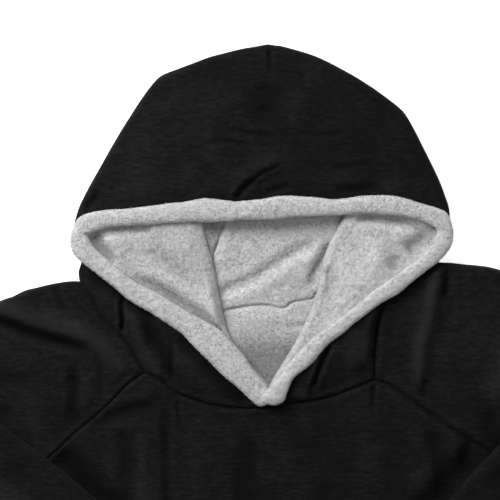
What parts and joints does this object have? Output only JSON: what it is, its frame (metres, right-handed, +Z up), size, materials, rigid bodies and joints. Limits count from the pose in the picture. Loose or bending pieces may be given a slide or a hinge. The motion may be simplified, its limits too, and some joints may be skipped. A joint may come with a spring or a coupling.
{
  "type": "wearable blanket hoodie",
  "caption": "Oversized blanket hoodie in black plush fleece with a grey sherpa lining, laid flat with its sleeves folded over the front.",
  "frame": {"origin": "on the surface that the garment lies on, at the middle of its outline", "axes": "+X towards the wearer's left, +Y from the hem to the hood, +Z up from the surface, out of the garment's front"},
  "size_m": [0.86, 1.099, 0.0309],
  "materials": {
    "plush_fleece": "short-pile plush fleece, matt with a soft sheen on the folds",
    "sherpa": "deep curled sherpa pile, matt"
  },
  "bodies": {
    "root": {"back": "plush_fleece", "back_lining": "sherpa", "front": "plush_fleece", "sleeve_left": "plush_fleece", "sleeve_right": "plush_fleece", "hood_left": "plush_fleece", "hood_right": "plush_fleece", "hood_lining_left": "sherpa", "hood_lining_right": "sherpa", "hood_band_left": "sherpa", "hood_band_right": "sherpa"}
  },
  "joints": []
}
